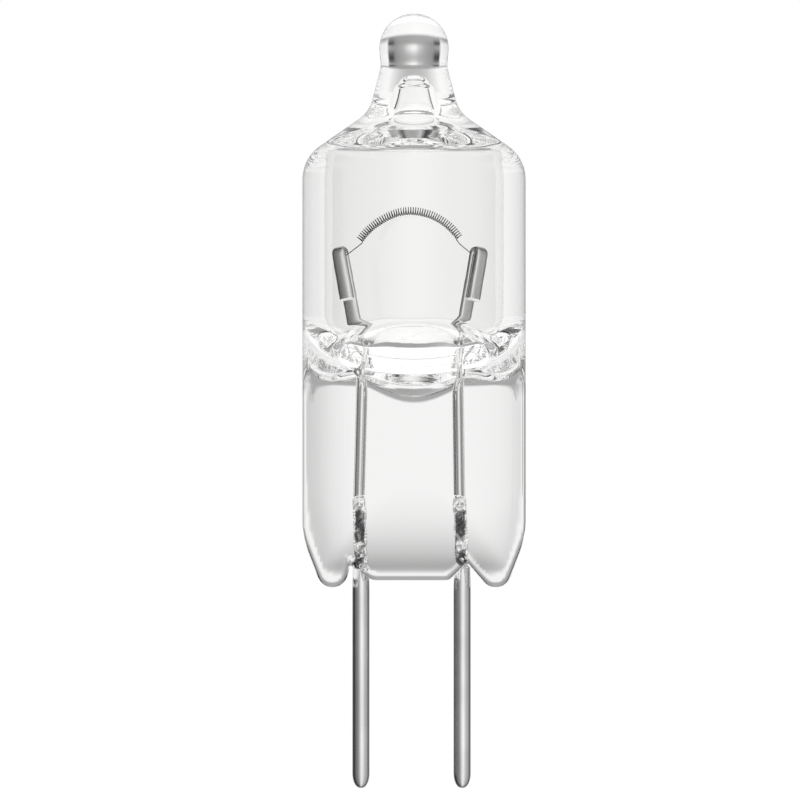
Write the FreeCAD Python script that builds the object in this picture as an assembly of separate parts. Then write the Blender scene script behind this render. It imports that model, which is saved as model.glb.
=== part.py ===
import FreeCAD, Part
import math
import os

from FreeCAD import Vector

# A low-voltage halogen capsule lamp with a two-pin base, in millimetres.
# +Z runs from the pins up to the sealed tip, and X runs from pin to pin.
# The parts are drawn with the lowest glass at zero height, and then lifted by seat_gap:
# the origin lies midway between the pins, on the plane of the holder's top face.

# Contact pins
pin_spacing = 4.0
pin_diameter = 0.68
pin_reach = 7.95
pin_nose_length = 0.60
pin_end_diameter = 0.30
pin_embedment = 0.86
pin_sealed_diameter = 0.64
seat_gap = 0.15
pin_shoulder_round = 0.14
pin_tail_diameter = 0.46
pin_tail_end_diameter = 0.38
pin_tail_length = 0.86

# Pinch seal, pressed flat between two jaws
seal_thickness = 2.50
seal_height = 7.30
jaw_foot_round = 1.50
jaw_angle = 41.0
seal_edge_round = 0.30
seal_rim_round = 0.22
seal_middle_height = 0.28
seal_middle_left = -1.56
seal_middle_right = 1.48
seal_middle_round = 0.30
notch_left = (-2.43, 0.88)
notch_right = (2.19, 0.97)
notch_round = 0.07
lobe_side_inset = 0.57
lobe_pin_gap = 0.60
flank_top_height = 1.98
foot_margin = 1.02

# Bulb, neck and tip, each height counted from the one below
glass_offset = 0.10
bulb_diameter = 8.82
bulb_wall = 0.86
shoulder_rise = 9.65
shoulder_round = 1.20
throat_rise = 1.83
throat_round = 0.80
neck_rise = 1.97
neck_diameter = 2.53
neck_angle = 14.5
neck_round = 0.45
tip_rise = 1.91
tip_diameter = 2.74

# Gas space inside the glass
floor_thickness = 1.45
floor_round = 1.20
floor_half_width = 0.30
floor_angle = 60.0
inner_shoulder_rise = 0.11
inner_shoulder_round = 0.90
inner_throat_drop = 1.18
inner_throat_radius = 0.98
inner_throat_round = 1.40
inner_neck_drop = 0.62
inner_neck_radius = 0.42
inner_neck_round = 0.36

# Inner leads, whose flattened ends fold over the filament's legs
lead_seat_left = -2.00
lead_seat_right = 1.90
lead_bend_left = -1.936
lead_bend_right = 1.834
lead_diameter = 0.48
lead_bend_depth = 0.30
lead_embedment = 4.89
lead_tail_length = 0.44
lead_tail_end_diameter = 0.38
lead_flattening_length = 0.90
lead_flat_width = 0.60
lead_flat_thickness = 0.26
lead_flat_round = 0.09
lead_wall_gap_left = 0.566
lead_wall_gap_right = 0.949
lead_top_drop = 3.53
fold_length = 2.13

# Foils that carry the current through the seal
foil_width = 0.58
foil_flat_width = 0.50
foil_thickness = 0.03
foil_edge_thickness = 0.006
foil_end_gap = 0.04

# Filament, a long coil bowed into an arch
filament_wire = 0.05
wire_sides = 6
coil_diameter = 0.34
coil_turns = 50
steps_per_turn = 10
arch_shift = 0.01
arch_rise = 1.44
arch_half_angle = 56.4
leg_run = 0.735
knee_run_left = 0.064
knee_drop_left = 0.342
knee_run_right = -0.017
knee_drop_right = 0.222
leg_end_drop = 0.46

# Sizes worked out from the ones above
bulb_radius = bulb_diameter / 2
cavity_radius = bulb_radius - bulb_wall
tip_radius = tip_diameter / 2
seal_half = seal_thickness / 2
pin_radius = pin_diameter / 2
lead_radius = lead_diameter / 2
lobe_radius = (bulb_radius - lobe_side_inset - pin_spacing / 2 - lobe_pin_gap) / 2
lobe_offset = bulb_radius - lobe_side_inset - lobe_radius
wire_radius = filament_wire / 2
foot_height = flank_top_height + foot_margin
shoulder_height = seal_height + shoulder_rise
throat_height = shoulder_height + throat_rise
neck_height = throat_height + neck_rise
tip_top = neck_height + tip_rise
tip_centre = tip_top - tip_radius
cavity_floor = seal_height + floor_thickness
cavity_top = neck_height - inner_neck_drop
lead_bend_height = cavity_floor - lead_bend_depth
lead_seat = lead_bend_height - lead_embedment
lead_top = shoulder_height - lead_top_drop
lead_rise = lead_top - lead_bend_height
left_lean = math.atan((glass_offset - cavity_radius + lead_wall_gap_left - lead_bend_left) / lead_rise)
right_lean = math.atan((glass_offset + cavity_radius - lead_wall_gap_right - lead_bend_right) / lead_rise)
leg_rise = lead_rise - leg_end_drop
left_leg_end = lead_bend_left + leg_rise * math.tan(left_lean)
right_leg_end = lead_bend_right + leg_rise * math.tan(right_lean)
arch_offset = (left_leg_end + right_leg_end) / 2 + arch_shift
arch_half_width = (right_leg_end - left_leg_end) / 2 - leg_run
arch_radius = arch_half_width / math.sin(math.radians(arch_half_angle))
arch_top = lead_top + arch_rise
arch_end = arch_top - arch_radius * (1 - math.cos(math.radians(arch_half_angle)))
fold_gap = filament_wire * math.cos(math.pi / wire_sides)
fold_shift = (lead_flat_thickness + fold_gap) / 2
blank_margin = bulb_wall
closeness = 1e-6


def in_xz(across, up):
    return Vector(across, 0, up)


def in_yz(across, up):
    return Vector(0, across, up)


def rounded_face(corners, place):
    """A face with straight sides between corners of (across, up, radius), each rounded by its radius."""
    points = [Vector(across, up, 0) for across, up, _ in corners]
    turns = []
    for index, corner in enumerate(points):
        radius = corners[index][2]
        before = (points[index - 1] - corner).normalize()
        after = (points[(index + 1) % len(points)] - corner).normalize()
        half_angle = before.getAngle(after) / 2
        reach = radius / math.tan(half_angle)
        middle = corner + (before + after).normalize() * (radius / math.sin(half_angle) - radius)
        turns.append((corner + before * reach, middle, corner + after * reach))
    edges = []
    for index, (start, middle, end) in enumerate(turns):
        if corners[index][2] > 0:
            arc = Part.Arc(place(start.x, start.y), place(middle.x, middle.y), place(end.x, end.y))
            edges.append(arc.toShape())
        following = turns[(index + 1) % len(turns)][0]
        edges.append(Part.makeLine(place(end.x, end.y), place(following.x, following.y)))
    return Part.Face(Part.Wire(edges))


def turned(face):
    """The solid that a face in the XZ plane sweeps round the Z axis."""
    return face.revolve(Vector(0, 0, 0), Vector(0, 0, 1), 360)


def glass_blank():
    """The tube before pressing, with its shoulder, neck and melted tip."""
    spread = math.tan(math.radians(neck_angle))
    neck_radius = neck_diameter / 2
    tube = turned(
        rounded_face(
            [
                (0, tip_centre, 0),
                (neck_radius - (tip_centre - neck_height) * spread, tip_centre, 0),
                (neck_radius + (neck_height - throat_height) * spread, throat_height, throat_round),
                (bulb_radius, shoulder_height, shoulder_round),
                (bulb_radius, -blank_margin, 0),
                (0, -blank_margin, 0),
            ],
            in_xz,
        )
    )
    tip = Part.makeSphere(tip_radius, Vector(0, 0, tip_centre))
    joined = tube.fuse(tip).removeSplitter()
    neck_edges = [
        edge
        for edge in joined.Edges
        if edge.BoundBox.ZLength < closeness and throat_height < edge.BoundBox.ZMin < tip_centre
    ]
    return joined.makeFillet(neck_round, neck_edges)


def trough(half_width, foot, foot_round, angle):
    """A long trough in X: upright walls below foot, sloping outwards above it."""
    top = tip_top + blank_margin
    reach = half_width + (top - foot) * math.tan(math.radians(angle))
    face = rounded_face(
        [
            (-half_width, -blank_margin, 0),
            (half_width, -blank_margin, 0),
            (half_width, foot, foot_round),
            (reach, top, 0),
            (-reach, top, 0),
            (-half_width, foot, foot_round),
        ],
        in_yz,
    )
    face.translate(Vector(-bulb_diameter, 0, 0))
    return face.extrude(Vector(2 * bulb_diameter, 0, 0))


def tangent_point(point, centre, radius, side):
    """Where a line from point touches a circle. side 1 or -1 picks one of the two."""
    away = point - centre
    turn = side * math.acos(radius / away.Length)
    heading = math.atan2(away.y, away.x) + turn
    return centre + Vector(math.cos(heading), math.sin(heading), 0) * radius


def lobe_corner(flank_top, notch, side):
    """The corner that, rounded by the lobe's radius, gives the lobe between its flank and its notch."""
    centre = Vector(side * lobe_offset + glass_offset, lobe_radius, 0)
    outer = tangent_point(flank_top, centre, lobe_radius, -side) - centre
    inner = tangent_point(Vector(notch[0], notch[1], 0), centre, lobe_radius, side) - centre
    corner = centre + (outer + inner) * (lobe_radius**2 / (lobe_radius**2 + outer.dot(inner)))
    return corner.x, corner.y, lobe_radius


def soften(solid, radius, wanted):
    """The solid with every wanted edge rounded by radius."""
    return solid.makeFillet(radius, [edge for edge in solid.Edges if wanted(edge.BoundBox)])


def seal_foot():
    """The lower end of the pinch seal: two lobes, a notch at each pin and a straight edge between."""
    left_flank = Vector(glass_offset - bulb_radius, flank_top_height, 0)
    right_flank = Vector(glass_offset + bulb_radius, flank_top_height, 0)
    left_lobe = lobe_corner(left_flank, notch_left, -1)
    right_lobe = lobe_corner(right_flank, notch_right, 1)
    slope = (right_flank.y - right_lobe[1]) / (right_flank.x - right_lobe[0])
    foot_width = (foot_height - flank_top_height) / slope
    face = rounded_face(
        [
            (left_flank.x - foot_width, foot_height, 0),
            left_lobe,
            (*notch_left, notch_round),
            (seal_middle_left, seal_middle_height, seal_middle_round),
            (seal_middle_right, seal_middle_height, seal_middle_round),
            (*notch_right, notch_round),
            right_lobe,
            (right_flank.x + foot_width, foot_height, 0),
        ],
        in_xz,
    )
    face.translate(Vector(0, -seal_half, 0))
    plate = face.extrude(Vector(0, seal_thickness, 0))
    return soften(plate, seal_rim_round, lambda box: box.YLength < closeness and box.ZMin < foot_height - closeness)


def is_press_edge(box):
    """Whether an edge with this box lies where the jaws meet the round tube."""
    crosses_the_seal = box.YLength > seal_half
    runs_from_side_to_side = box.YLength < closeness and box.ZLength < closeness
    return box.ZMax < shoulder_height - shoulder_round and not crosses_the_seal and not runs_from_side_to_side


def outer_glass():
    blank = glass_blank()
    blank.translate(Vector(glass_offset, 0, 0))
    jaws = trough(seal_half, seal_height, jaw_foot_round, jaw_angle)
    pressed = soften(blank.common(jaws), seal_edge_round, is_press_edge)
    above = Part.makeBox(
        2 * bulb_diameter, 2 * bulb_diameter, tip_top, Vector(-bulb_diameter, -bulb_diameter, foot_height)
    )
    return pressed.common(above).fuse(pressed.common(seal_foot())).removeSplitter()


def gas_space():
    """The hollow of the bulb: a narrow neck, a flat shoulder, and a floor like a shallow valley along X."""
    hollow = turned(
        rounded_face(
            [
                (0, cavity_top, 0),
                (inner_neck_radius, cavity_top, inner_neck_round),
                (inner_throat_radius, throat_height - inner_throat_drop, inner_throat_round),
                (cavity_radius, shoulder_height + inner_shoulder_rise, inner_shoulder_round),
                (cavity_radius, cavity_floor, floor_round),
                (0, cavity_floor, 0),
            ],
            in_xz,
        )
    )
    hollow.translate(Vector(glass_offset, 0, 0))
    return hollow.common(trough(floor_half_width, cavity_floor, 0, floor_angle))


def contact_pin(offset):
    """A round pin with a blunt nose, thinner in the seal, and a half-round tail welded to the foil."""
    nose_start = -pin_reach + pin_nose_length
    top = pin_embedment
    sealed_radius = pin_sealed_diameter / 2
    nose_middle = Vector(
        pin_end_diameter / 2 + (pin_radius - pin_end_diameter / 2) * math.sin(math.radians(45)),
        0,
        nose_start - pin_nose_length * math.cos(math.radians(45)),
    )
    nose = Part.BSplineCurve()
    nose.interpolate(
        Points=[Vector(pin_radius, 0, nose_start), nose_middle, Vector(pin_end_diameter / 2, 0, -pin_reach)],
        Tangents=[Vector(0, 0, -1), Vector(-0.5, 0, -0.5), Vector(-1, 0, 0)],
        TangentFlags=[True, False, True],
    )
    shoulder_turn = pin_shoulder_round * (1 - math.sin(math.radians(45)))
    shoulder = Part.Arc(
        Vector(sealed_radius - pin_shoulder_round, 0, top),
        Vector(sealed_radius - shoulder_turn, 0, top - shoulder_turn),
        Vector(sealed_radius, 0, top - pin_shoulder_round),
    )
    profile = Part.Wire(
        [
            Part.makeLine(Vector(0, 0, -pin_reach), Vector(0, 0, top)),
            Part.makeLine(Vector(0, 0, top), Vector(sealed_radius - pin_shoulder_round, 0, top)),
            shoulder.toShape(),
            Part.makeLine(Vector(sealed_radius, 0, top - pin_shoulder_round), Vector(pin_radius, 0, -seat_gap)),
            Part.makeLine(Vector(pin_radius, 0, -seat_gap), Vector(pin_radius, 0, nose_start)),
            nose.toShape(),
            Part.makeLine(Vector(pin_end_diameter / 2, 0, -pin_reach), Vector(0, 0, -pin_reach)),
        ]
    )
    body = turned(Part.Face(profile))
    tail_end = top + pin_tail_length
    tail = half_round_tail(pin_tail_diameter / 2, pin_tail_end_diameter / 2, top - pin_shoulder_round, tail_end)
    pin = body.fuse(tail).removeSplitter()
    pin.translate(Vector(offset, 0, 0))
    return pin


def half_round_tail(bottom_radius, top_radius, bottom, top):
    """The half of an upright tapered rod that lies behind the foil."""
    rod = Part.makeCone(bottom_radius, top_radius, top - bottom, Vector(0, 0, bottom))
    reach = max(bottom_radius, top_radius)
    behind = Part.makeBox(2 * reach, reach, top - bottom, Vector(-reach, foil_thickness / 2, bottom))
    return rod.common(behind)


def foil(lower_offset, upper_offset):
    """A thin strip from the pin's tail up to the inner lead's tail, with edges thinned to a feather."""
    flat = foil_flat_width / 2
    edge = foil_width / 2
    face = foil_thickness / 2
    feather = foil_edge_thickness / 2
    half_outline = [(-edge, -feather), (-flat, -face), (flat, -face), (edge, -feather)]
    outline = half_outline + [(-across, -deep) for across, deep in half_outline]
    bottom = pin_embedment + foil_end_gap
    top = lead_seat - foil_end_gap
    corners = [Vector(lower_offset + across, deep, bottom) for across, deep in outline]
    strip = Part.Face(Part.makePolygon(corners + corners[:1]))
    return strip.extrude(Vector(upper_offset - lower_offset, 0, top - bottom))


def flat_section(width, thickness, corner):
    """A closed outline in XY with eight sides: four straight and four round corners."""
    edges = []
    for quarter in range(4):
        across_x = width / 2 if quarter % 2 == 0 else thickness / 2
        across_y = thickness / 2 if quarter % 2 == 0 else width / 2
        centre = Vector(across_x - corner, across_y - corner, 0)
        start = centre + Vector(corner, 0, 0)
        middle = centre + Vector(corner, corner, 0) * math.sqrt(0.5)
        end = centre + Vector(0, corner, 0)
        side_start = Vector(across_x, corner - across_y, 0)
        for piece in (Part.makeLine(side_start, start), Part.Arc(start, middle, end).toShape()):
            piece.rotate(Vector(0, 0, 0), Vector(0, 0, 1), 90 * quarter)
            edges.append(piece)
    return Part.Wire(edges)


def round_section():
    """The wire's round outline, cut at the same eight places as the flattened one."""
    edges = []
    side_turn = 2 * math.degrees(math.atan2(lead_flat_thickness / 2 - lead_flat_round, lead_flat_width / 2))
    end_turn = 90 - side_turn
    angle = -side_turn / 2
    for quarter in range(4):
        for turn in (side_turn, end_turn):
            edges.append(
                Part.makeCircle(lead_radius, Vector(0, 0, 0), Vector(0, 0, 1), angle, angle + turn)
            )
            angle += turn
    return Part.Wire(edges)


def inner_lead(seat_offset, bend_offset, lean):
    """A round wire that leans outwards in the bulb, is flattened there and folds back over itself in front."""
    along = Vector(math.sin(lean), 0, math.cos(lean))
    foot = Vector(bend_offset, 0, lead_bend_height)
    bottom = round_section()
    bottom.translate(foot)
    seat = round_section()
    seat.translate(Vector(seat_offset, 0, lead_seat))
    tail = half_round_tail(lead_tail_end_diameter / 2, lead_radius, lead_seat - lead_tail_length, lead_seat)
    tail.translate(Vector(seat_offset, 0, 0))
    stem = Part.makeLoft([seat, bottom], True, True).fuse(tail)

    def leaning(shape, distance, shift):
        placed = shape.copy()
        placed.rotate(Vector(0, 0, 0), Vector(0, 1, 0), math.degrees(lean))
        placed.translate(foot + along * distance + Vector(0, shift, 0))
        return placed

    flat = flat_section(lead_flat_width, lead_flat_thickness, lead_flat_round)
    bend_distance = (lead_top - lead_bend_height) / math.cos(lean) - lead_flat_thickness - fold_gap / 2
    transition = Part.makeLoft([bottom, leaning(flat, lead_flattening_length, fold_shift)], True, True)
    start = leaning(Part.Face(flat), lead_flattening_length, fold_shift)
    upright = start.extrude(along * (bend_distance - lead_flattening_length))
    bend_face = leaning(Part.Face(flat), bend_distance, fold_shift)
    bend_centre = foot + along * bend_distance
    bend_axis = Vector(math.cos(lean), 0, -math.sin(lean))
    bend = bend_face.revolve(bend_centre, bend_axis, 180)
    flap_length = fold_length - lead_flat_thickness - fold_gap / 2
    flap = leaning(Part.Face(flat), bend_distance, -fold_shift).extrude(along * -flap_length)
    whole = stem
    for piece in (transition, upright, bend, flap):
        whole = whole.fuse(piece)
    return whole.removeSplitter()


def filament_route():
    """Points along the filament, each with the direction that its wire section faces."""
    coil_radius = (coil_diameter - filament_wire) / 2
    arch_centre = Vector(arch_offset, 0, arch_top - arch_radius)
    half_angle = math.radians(arch_half_angle)
    steps = coil_turns * steps_per_turn
    route = []
    for step in range(steps + 1):
        along = half_angle * (2 * step / steps - 1)
        around = math.pi + 2 * math.pi * step / steps_per_turn
        outwards = Vector(math.sin(along), 0, math.cos(along))
        facing = outwards * math.cos(around) + Vector(0, math.sin(around), 0)
        route.append((arch_centre + outwards * arch_radius + facing * coil_radius, facing))
    left_facing = route[0][1]
    right_facing = route[-1][1]
    left_end = in_xz(left_leg_end, lead_top - leg_end_drop)
    right_end = in_xz(right_leg_end, lead_top - leg_end_drop)
    left_knee = in_xz(arch_offset - arch_half_width - knee_run_left, arch_end - knee_drop_left)
    right_knee = in_xz(arch_offset + arch_half_width + knee_run_right, arch_end - knee_drop_right)
    left_leg = [(left_end, left_facing), (left_knee, left_facing)]
    right_leg = [(right_knee, right_facing), (right_end, right_facing)]
    return left_leg + route + right_leg


def filament():
    """One wire from leg to leg, wound into a coil along the arch."""
    route = filament_route()
    sections = []
    for index, (point, facing) in enumerate(route):
        behind = route[max(index - 1, 0)][0]
        ahead = route[min(index + 1, len(route) - 1)][0]
        heading = (ahead - behind).normalize()
        outwards = (facing - heading * facing.dot(heading)).normalize()
        sideways = heading.cross(outwards)
        corners = []
        for side in range(wire_sides + 1):
            angle = 2 * math.pi * side / wire_sides
            corners.append(point + (outwards * math.cos(angle) + sideways * math.sin(angle)) * wire_radius)
        sections.append(Part.makePolygon(corners))
    return Part.makeLoft(sections, True, True)


def glass_envelope(embedded):
    glass = outer_glass().cut(gas_space())
    for piece in embedded:
        glass = glass.cut(piece)
    return glass.removeSplitter()


os.makedirs("parts", exist_ok=True)

pins = {"pin_left": contact_pin(-pin_spacing / 2), "pin_right": contact_pin(pin_spacing / 2)}
foils = {
    "foil_left": foil(-pin_spacing / 2, lead_seat_left),
    "foil_right": foil(pin_spacing / 2, lead_seat_right),
}
leads = {
    "inner_lead_left": inner_lead(lead_seat_left, lead_bend_left, left_lean),
    "inner_lead_right": inner_lead(lead_seat_right, lead_bend_right, right_lean),
}
sealed_in = list(pins.values()) + list(foils.values()) + list(leads.values())
parts = {"glass_envelope": glass_envelope(sealed_in), "filament": filament()}
parts.update(leads)
parts.update(foils)
parts.update(pins)

for node, shape in parts.items():
    shape.translate(Vector(0, 0, seat_gap))
    print(node, shape.isValid(), len(shape.Solids), len(shape.Faces), round(shape.Volume, 4), shape.BoundBox)
    shape.exportStep("parts/" + node + ".step")
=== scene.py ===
"""Looks for the halogen capsule bulb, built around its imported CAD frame. Sizes are in millimetres."""

import math

import bpy
import numpy as np
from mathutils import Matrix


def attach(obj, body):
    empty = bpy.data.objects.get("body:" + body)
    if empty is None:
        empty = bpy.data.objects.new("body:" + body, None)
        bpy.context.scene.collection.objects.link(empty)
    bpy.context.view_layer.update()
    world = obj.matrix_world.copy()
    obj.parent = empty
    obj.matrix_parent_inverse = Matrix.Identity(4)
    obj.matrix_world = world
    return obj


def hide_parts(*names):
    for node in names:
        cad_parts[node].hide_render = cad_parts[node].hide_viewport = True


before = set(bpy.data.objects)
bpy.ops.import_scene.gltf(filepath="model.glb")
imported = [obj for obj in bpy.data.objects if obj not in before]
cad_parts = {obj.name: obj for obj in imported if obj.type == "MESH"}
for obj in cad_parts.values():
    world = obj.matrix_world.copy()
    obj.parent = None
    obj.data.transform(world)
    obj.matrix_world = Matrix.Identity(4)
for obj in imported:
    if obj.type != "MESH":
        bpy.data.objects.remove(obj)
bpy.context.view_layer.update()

MM = 0.001
# Offsets are places along X. Heights are counted from the lowest glass, this far above the frame's origin
FRAME_LIFT = 0.15

# Glass bulb, neck and tip
GLASS_OFFSET = 0.10
BULB_RADIUS = 4.41
BULB_WALL = 0.86
SHOULDER_HEIGHT = 16.95
SHOULDER_BLEND = 0.72
THROAT_HEIGHT = 18.78
THROAT_BLEND = 0.34
NECK_HEIGHT = 20.75
NECK_RADIUS = 1.265
NECK_ANGLE = math.radians(14.5)
NECK_BLEND = 0.22
TIP_RADIUS = 1.37
TIP_TOP = 22.66

# Gas space
GAS_FLOOR_HEIGHT = 8.75
GAS_FLOOR_CURVE = 0.07
GAS_FLOOR_BLEND = 1.2
WEDGE_HALF_WIDTH = 0.30
WEDGE_ANGLE = math.radians(60.0)
WEDGE_TOP_BLEND = 0.12
INNER_SHOULDER_HEIGHT = 17.06
INNER_SHOULDER_BLEND = 0.50
INNER_THROAT_HEIGHT = 17.60
INNER_THROAT_RADIUS = 0.98
INNER_THROAT_BLEND = 0.55
INNER_NECK_HEIGHT = 20.13
INNER_NECK_RADIUS = 0.42
INNER_NECK_BLEND = 0.10
INNER_NECK_OVERLAP = 1.0

# Pinch seal: its pressed faces, and the slopes above them
SEAL_HALF = 1.25
SEAL_EDGE_BLEND = 0.09
SQUEEZE_TOP = 8.9
SQUEEZE_HEIGHT = 1.0
JAW_TOP_HEIGHT = 10.65
JAW_TOP_DROP = 1.12
JAW_TOP_SPAN = 1.36
TOP_CURVE_POWER = 1.5
JAW_FOOT_BLEND = 0.30
JAW_EDGE_BLEND = 0.16
FOOT_MIDDLE_HEIGHT = 7.75
SIDE_FOOT_RISE = 0.60
SIDE_FOOT_WIDTH = 2.0
FOOT_CURVE_POWER = 1.5
SIDE_FLARE_TOP = 9.60
SIDE_FLARE_DEPTH = 1.6
SIDE_FLARE_BLEND = 0.30

# Pinch seal: the hollow of each pressed face
PANEL_HOLLOW = 0.14
PANEL_RIM_WIDTH = 0.04
PANEL_SLOPE_WIDTH = 1.3
PANEL_CORNER = 0.22
PANEL_FOOT_BLEND = 0.12
# Distances outside this range count as its ends
SOFT_RANGE = (-2, 12)

# Pinch seal: its lower outline
RIM_ROUND = 0.24
MIDDLE_HEIGHT = 0.28
MIDDLE_LEFT = -1.56
MIDDLE_RIGHT = 1.48
MIDDLE_BLEND = 0.10
NOTCH_LEFT = (-2.43, 0.88)
NOTCH_RIGHT = (2.19, 0.97)
NOTCH_BLEND = 0.07
LOBE_OFFSET = 3.22
LOBE_RADIUS = 0.62
FLANK_TOP_HEIGHT = 1.98

# The glass's mesh: its cells, and how its points are set on the surface
GRID_STEP = 0.12
SPARE_CELLS = 3
SETTLING_ROUNDS = 4
SLOPE_STEP = 0.001
LEAST_STEEPNESS = 1e-9

# Cross-sections of the metal: the power that makes them round, and how many points they have
ROUND_POWER = 2
RING_SIDES = 40

# Contact pins
PIN_OFFSETS = {"left": -2.0, "right": 2.0}
PIN_RADIUS = 0.34
PIN_REACH = 7.95
PIN_NOSE_LENGTH = 0.60
PIN_TIP_RADIUS = 0.0225
PIN_NOSE_POWER = 0.85
PIN_SEALED_RADIUS = 0.32
PIN_EMBEDMENT = 0.86
PIN_SHOULDER_ROUND = 0.14
PIN_TAIL_RADIUS = 0.23
PIN_TAIL_END_RADIUS = 0.19
PIN_TAIL_LENGTH = 0.86
PIN_SIDES = 96
PIN_ROWS = {"nose": 18, "shank": 24, "shoulder": 8}
TAIL_COLUMNS = 17
TAIL_ROWS = 5

# Inner leads: round wire in the seal, rolled flat in the bulb and folded back in front
LEAD_SEATS = {"left": -2.08, "right": 1.90}
LEAD_BENDS = {"left": -1.95, "right": 1.834}
LEAD_TOPS = {"left": -2.884, "right": 2.701}
LEAD_TURNS = {"left": math.radians(16), "right": math.radians(-40)}
LEAD_SEAT_HEIGHT = 3.56
LEAD_BEND_HEIGHT = 8.45
LEAD_TOP_HEIGHT = 13.42
LEAD_RADIUS = 0.24
LEAD_TAIL_LENGTH = 0.44
LEAD_TAIL_END_RADIUS = 0.19
LEAD_END_ROUND = 0.05
FLATTENING_LENGTH = 0.90
FLAT_WIDTH = 0.60
FLAT_THICKNESS = 0.26
FOLD_CORNER = 0.06
FOLD_SQUARENESS = 3.0
FOLD_SHIFT = 0.152
FOLD_LENGTH = 2.13
FLAP_CORNER = 0.13
FLAP_THICKNESS = 0.34
FLAP_END_THINNING = 0.55
FLAT_POWERS = {"left": 2.0, "right": 3.0}
LEAD_ROWS = {"end": 5, "seated": 24, "rolled": 16, "flat": 14, "fold": 19, "flap": 10, "corner": 9}
# Where the rows of the seated and the rolled part start, as shares of their lengths
SEATED_MARGIN = 0.03
ROLLED_START = 0.05

# Foils
FOIL_WIDTH = 0.54
FOIL_THICKNESS = 0.03
FOIL_BOTTOM = 0.90
FOIL_TOP = 3.52
FOIL_COLUMNS = 15
FOIL_ROWS = 90
# What makes the two foils differ, in radians
FOIL_PHASES = {"left": 0.0, "right": 1.1}
# Waves are in radians per millimetre, and creases have one up the foil and one across it
FOIL_SWAY = 0.012
FOIL_SWAY_WAVE = 7.1
FOIL_WAIST = 0.07
FOIL_WAIST_WAVE = 3.3
FOIL_END_INSET = 0.05
FOIL_END_LENGTH = 0.04
FOIL_CRUMPLE = 0.035
LONG_CREASE = (9.0, 4.0)
CROSS_CREASE = (3.0, -9.0)
SLANTED_CREASE = (17.0, -11.0)
SLANTED_SHARE = 0.6
FINE_CREASE = (31.0, 19.0)
FINE_CREASE_SWING = 5.0
FINE_SHARE = 0.35
# The weld is a dent with a lip. The lip's reach is counted in the weld's radius, its spread in that squared
WELD_HEIGHT = 3.27
WELD_RADIUS = 0.11
WELD_DENT = 0.05
WELD_LIP = 0.035
WELD_LIP_REACH = 1.6
WELD_LIP_SPREAD = 0.18
WELD_CALM = 0.8
WELD_CALM_LENGTH = 0.30
# How light the foil is, by the share of its height: lighter and darker bands up the strip
FOIL_LIGHTNESS = [
    (0.00, 0.30),
    (0.10, 0.20),
    (0.20, 0.55),
    (0.30, 0.85),
    (0.36, 0.30),
    (0.60, 0.05),
    (0.78, 0.25),
    (0.84, 0.95),
    (1.00, 1.00),
]
# The same by the distance from its middle line, as a share of its width: lighter towards its edges, darker
# along its middle
FOIL_MIDDLE = 0.47
FOIL_EDGE_LIGHTNESS = [(0.22, 0.0), (0.38, 1.0)]
FOIL_SPECKLE = 1.9
# Its greys, by how light it is
FOIL_GREYS = [
    (0.15, (0.06, 0.06, 0.06)),
    (0.45, (0.33, 0.33, 0.33)),
    (0.80, (0.93, 0.93, 0.925)),
]

# Filament
WIRE_RADIUS = 0.019
WIRE_SIDES = 10
COIL_RADIUS = 0.145
COIL_TURNS = 50
STEPS_PER_TURN = 24
# At 1, a turn stands still at the top of the coil and steps on at its underside
COIL_STEP = 1.2
ARCH_OFFSET = -0.0776
ARCH_RADIUS = 2.3696
ARCH_TOP = 14.86
ARCH_HALF_ANGLE = math.radians(56.4)
# The arch's left side sits this much lower, and gets there over this share of its half
ARCH_LEFT_SAG = 0.10
ARCH_SAG_SPAN = 0.7
LEG_END_LEFT = (-2.796, 12.96)
KNEE_LEFT = (-2.115, 13.46)
LEG_END_RIGHT = (2.621, 12.96)
KNEE_RIGHT = (1.88, 13.58)
LEG_STRAIGHT_SHARE = 0.88
LEG_ROWS = 6
KNEE_MARGIN = 0.2
KNEE_REACH = 0.9
KNEE_ROWS = 4

# How strongly quartz bends light
QUARTZ_IOR = 1.458

# Photograph: its scale, its centre in the frame, and the lens that looks level along +Y
PHOTO_PIXELS_PER_MM = 25.3
PHOTO_CENTRE = (-0.4545, 7.391)
PHOTO_SIDE_PIXELS = 800
LENS = 700.0
SENSOR = 36.0
# The camera sees from its distance divided by this to its distance times this
CLIP_SPAN = 100

# Floor of the studio, below the pins
FLOOR_GAP = 0.9
FLOOR_RADIUS = 45.0
FLOOR_SIDES = 96
FLOOR_GLOW = 0.35

# Enough for light that the glass holds for long
LIGHT_BOUNCES = 64


def smooth_max(first, second, blend):
    """The larger of two fields, rounded where they come within blend of each other."""
    overlap = np.clip(blend - np.abs(first - second), 0, None) / blend
    return np.maximum(first, second) + overlap**2 * blend / 4


def smooth_min(first, second, blend):
    """The smaller of two fields, rounded in the same way."""
    return -smooth_max(-first, -second, blend)


def half_plane(across, up, point, direction):
    """Distance to the left of a line in a plane: positive on the left of the direction of travel."""
    length = math.hypot(*direction)
    return ((up - point[1]) * direction[0] - (across - point[0]) * direction[1]) / length


def tangent_point(point, centre, radius, side):
    """Where a line from point touches a circle. side 1 or -1 picks one of the two."""
    away = (point[0] - centre[0], point[1] - centre[1])
    heading = math.atan2(away[1], away[0]) + side * math.acos(radius / math.hypot(*away))
    return centre[0] + radius * math.cos(heading), centre[1] + radius * math.sin(heading)


def eased(share):
    """A share from 0 to 1 that starts and ends slowly."""
    return share * share * (3 - 2 * share)


def soft_positive(value, blend):
    """The value where it is well above zero, run out softly to zero below."""
    return blend * np.logaddexp(0, value / blend)


def soft_least(values, blend):
    """The least of several fields, blended where they are alike."""
    low, high = SOFT_RANGE
    return -blend * np.log(sum(np.exp(-np.clip(value, low, high) / blend) for value in values))


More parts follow.
